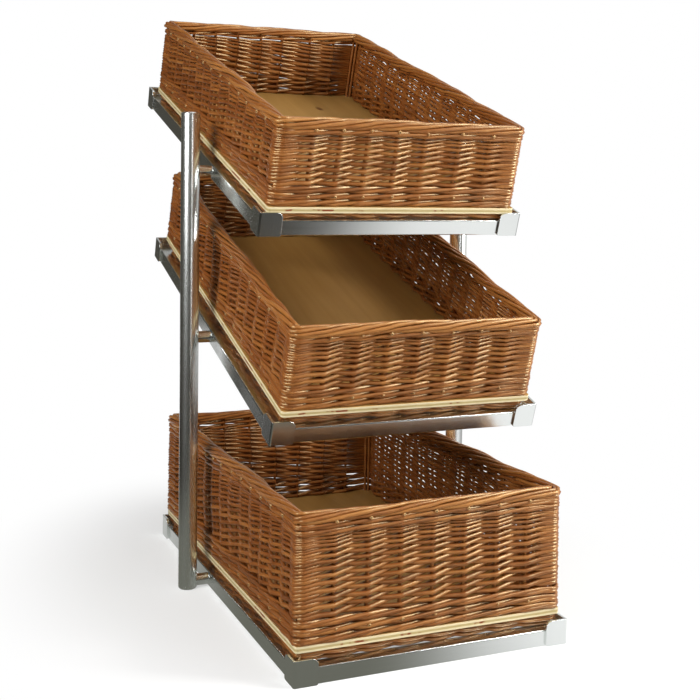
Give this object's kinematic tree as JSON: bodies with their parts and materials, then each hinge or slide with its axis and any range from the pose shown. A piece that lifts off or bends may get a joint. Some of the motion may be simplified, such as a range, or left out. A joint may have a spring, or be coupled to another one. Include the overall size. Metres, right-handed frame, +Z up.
{
  "type": "bakery bread rack",
  "caption": "Free-standing tiered bread rack: round steel uprights carry tilted shelf frames with corner lugs, each holding a lift-out woven willow basket with a plywood base.",
  "frame": {"origin": "on the floor under the middle of the rack's overall depth and width", "axes": "+Z up, +Y towards the high back of the shelves, +X to the right seen from the front"},
  "size_m": [0.4374, 0.7146, 0.8131],
  "materials": {
    "stainless_steel": "brushed along each length",
    "willow": "woven, stained and varnished",
    "plywood": "sanded, clear coat"
  },
  "bodies": {
    "rack": {"bottom_lug_front_left": "stainless_steel", "bottom_lug_front_right": "stainless_steel", "bottom_lug_rear_left": "stainless_steel", "bottom_lug_rear_right": "stainless_steel", "bottom_rail_front": "stainless_steel", "bottom_rail_left": "stainless_steel", "bottom_rail_rear": "stainless_steel", "bottom_rail_right": "stainless_steel", "bottom_stub_left": "stainless_steel", "bottom_stub_right": "stainless_steel", "middle_lug_front_left": "stainless_steel", "middle_lug_front_right": "stainless_steel", "middle_lug_rear_left": "stainless_steel", "middle_lug_rear_right": "stainless_steel", "middle_rail_front": "stainless_steel", "middle_rail_left": "stainless_steel", "middle_rail_rear": "stainless_steel", "middle_rail_right": "stainless_steel", "middle_stub_left": "stainless_steel", "middle_stub_right": "stainless_steel", "top_lug_front_left": "stainless_steel", "top_lug_front_right": "stainless_steel", "top_lug_rear_left": "stainless_steel", "top_lug_rear_right": "stainless_steel", "top_rail_front": "stainless_steel", "top_rail_left": "stainless_steel", "top_rail_rear": "stainless_steel", "top_rail_right": "stainless_steel", "top_stub_left": "stainless_steel", "top_stub_right": "stainless_steel", "upright_left": "stainless_steel", "upright_left_foot_cap": "stainless_steel", "upright_left_top_cap": "stainless_steel", "upright_right": "stainless_steel", "upright_right_foot_cap": "stainless_steel", "upright_right_top_cap": "stainless_steel"},
    "top_basket": {"top_basket_base_board": "plywood", "top_basket_foot_border": "willow", "top_basket_rim_border": "willow", "top_basket_wall_front": "willow", "top_basket_wall_left": "willow", "top_basket_wall_rear": "willow", "top_basket_wall_right": "willow"},
    "middle_basket": {"middle_basket_base_board": "plywood", "middle_basket_foot_border": "willow", "middle_basket_rim_border": "willow", "middle_basket_wall_front": "willow", "middle_basket_wall_left": "willow", "middle_basket_wall_rear": "willow", "middle_basket_wall_right": "willow"},
    "bottom_basket": {"bottom_basket_base_board": "plywood", "bottom_basket_foot_border": "willow", "bottom_basket_rim_border": "willow", "bottom_basket_wall_front": "willow", "bottom_basket_wall_left": "willow", "bottom_basket_wall_rear": "willow", "bottom_basket_wall_right": "willow"}
  },
  "joints": [
    {"name": "top_basket_lift", "type": "slide", "parent": "rack", "child": "top_basket", "axis": [0, -0.309, 0.9511], "range_m": [0, 0.25]},
    {"name": "middle_basket_lift", "type": "slide", "parent": "rack", "child": "middle_basket", "axis": [0, -0.309, 0.9511], "range_m": [0, 0.06]},
    {"name": "bottom_basket_lift", "type": "slide", "parent": "rack", "child": "bottom_basket", "axis": [0, 0, 1], "range_m": [0, 0.05]}
  ]
}
